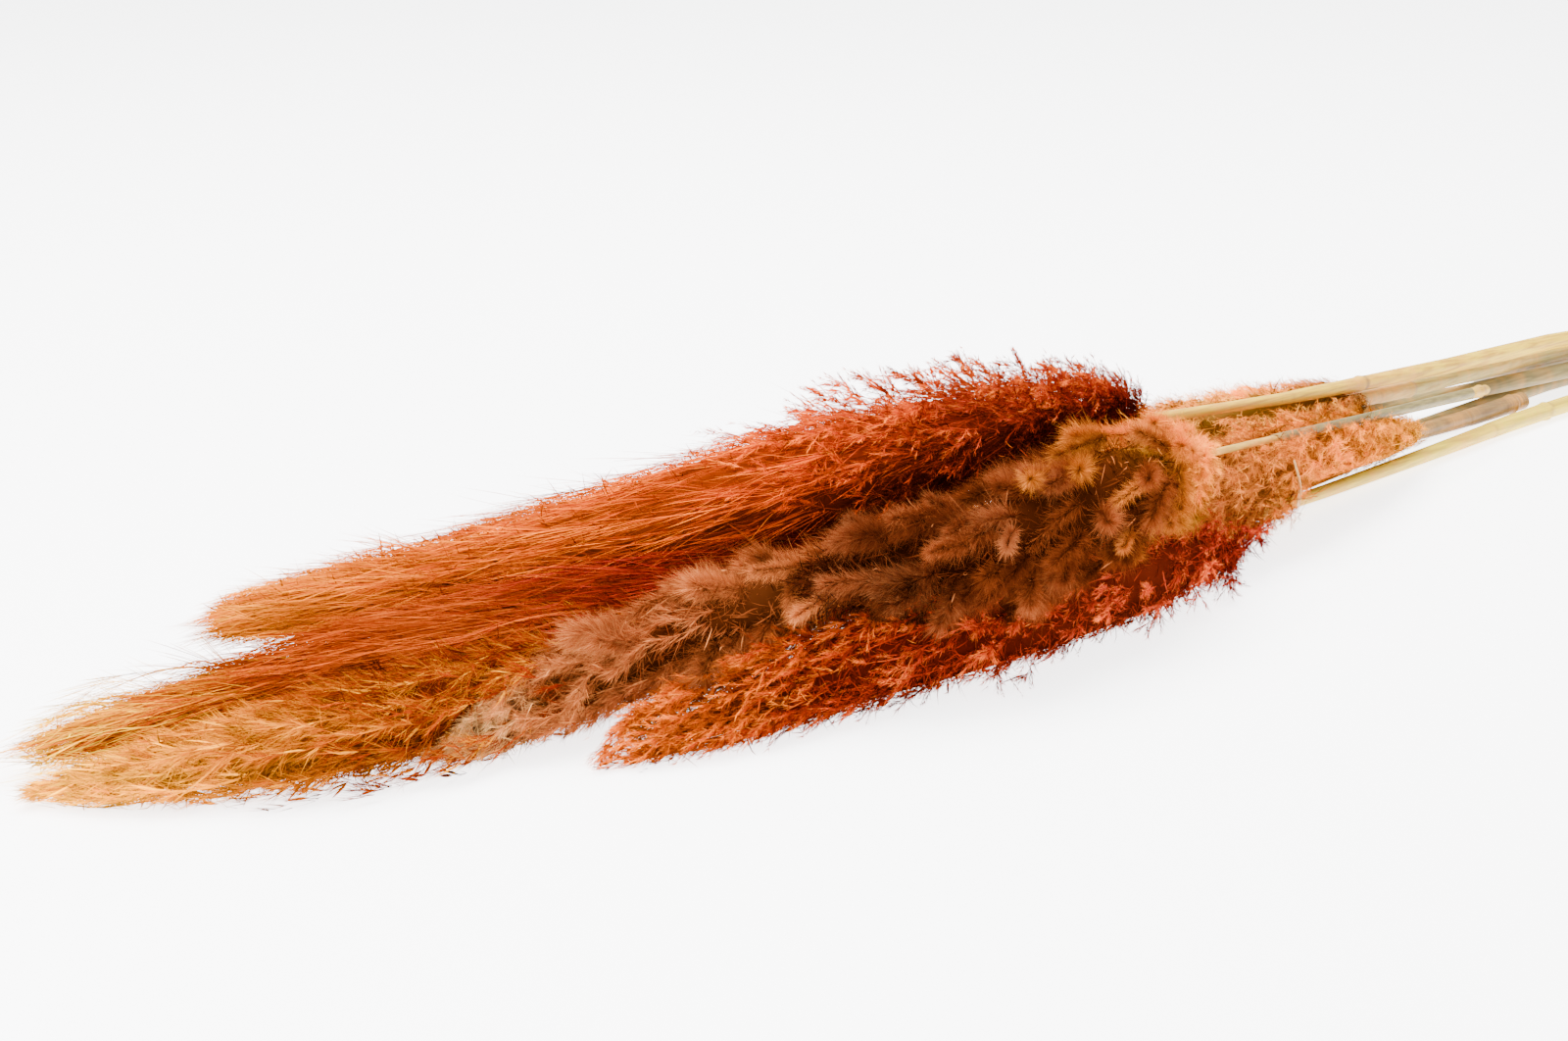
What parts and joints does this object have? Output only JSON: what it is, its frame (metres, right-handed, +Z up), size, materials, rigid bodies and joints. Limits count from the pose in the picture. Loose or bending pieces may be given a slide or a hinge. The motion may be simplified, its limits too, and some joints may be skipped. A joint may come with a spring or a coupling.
{
  "type": "bundle of dried pampas grass",
  "caption": "Loose bundle of dyed, dried pampas grass lying down: long silky, fuzzy and feathery plumes in rust, gold, tan and peach on pale straw stems.",
  "frame": {"origin": "middle of the base of the object's box, on the surface that it lies on", "axes": "+X along the bundle towards the cut ends, +Y level, away from the low side where the red front plume lies, +Z up"},
  "size_m": [0.9956, 0.1824, 0.0738],
  "materials": {
    "red_front_fluff": "dull dark red plume fluff, orange at the tip",
    "golden_fluff": "dull golden-brown fuzz",
    "rust_long_fluff": "rust-red at the base, silky orange at the tip",
    "peach_front_fluff": "dull peach fluff",
    "peach_back_fluff": "dull peach-brown fluff",
    "tan_foxtail_fluff": "dull tan fuzz, cream at the tip",
    "orange_feather_fluff": "dull orange fluff with straw-coloured spikelets",
    "amber_long_fluff": "silky amber-orange, brown in the shade",
    "red_front_straw": "satin dry reed straw with fine lengthwise fibres",
    "golden_straw": "satin dry reed straw with fine lengthwise fibres",
    "rust_long_straw": "satin dry reed straw with fine lengthwise fibres",
    "peach_front_straw": "satin dry reed straw with fine lengthwise fibres",
    "peach_back_straw": "satin dry reed straw with fine lengthwise fibres",
    "tan_foxtail_straw": "satin dry reed straw with fine lengthwise fibres",
    "orange_feather_straw": "satin dry reed straw with fine lengthwise fibres",
    "amber_long_straw": "satin dry reed straw with fine lengthwise fibres",
    "leaf_sheath": "satin dry leaf sheath, grey-green",
    "dry_leaf": "dull dry leaf"
  },
  "bodies": {
    "root": {"red_front_plume": "red_front_fluff", "golden_plume": "golden_fluff", "rust_long_plume": "rust_long_fluff", "peach_front_plume": "peach_front_fluff", "peach_back_plume": "peach_back_fluff", "tan_foxtail_plume": "tan_foxtail_fluff", "orange_feather_plume": "orange_feather_fluff", "amber_long_plume": "amber_long_fluff", "red_front_stem": "red_front_straw", "golden_stem": "golden_straw", "rust_long_stem": "rust_long_straw", "peach_front_stem": "peach_front_straw", "peach_back_stem": "peach_back_straw", "tan_foxtail_stem": "tan_foxtail_straw", "orange_feather_stem": "orange_feather_straw", "amber_long_stem": "amber_long_straw", "golden_sheath": "leaf_sheath", "loose_leaf_strip": "dry_leaf"}
  },
  "joints": []
}
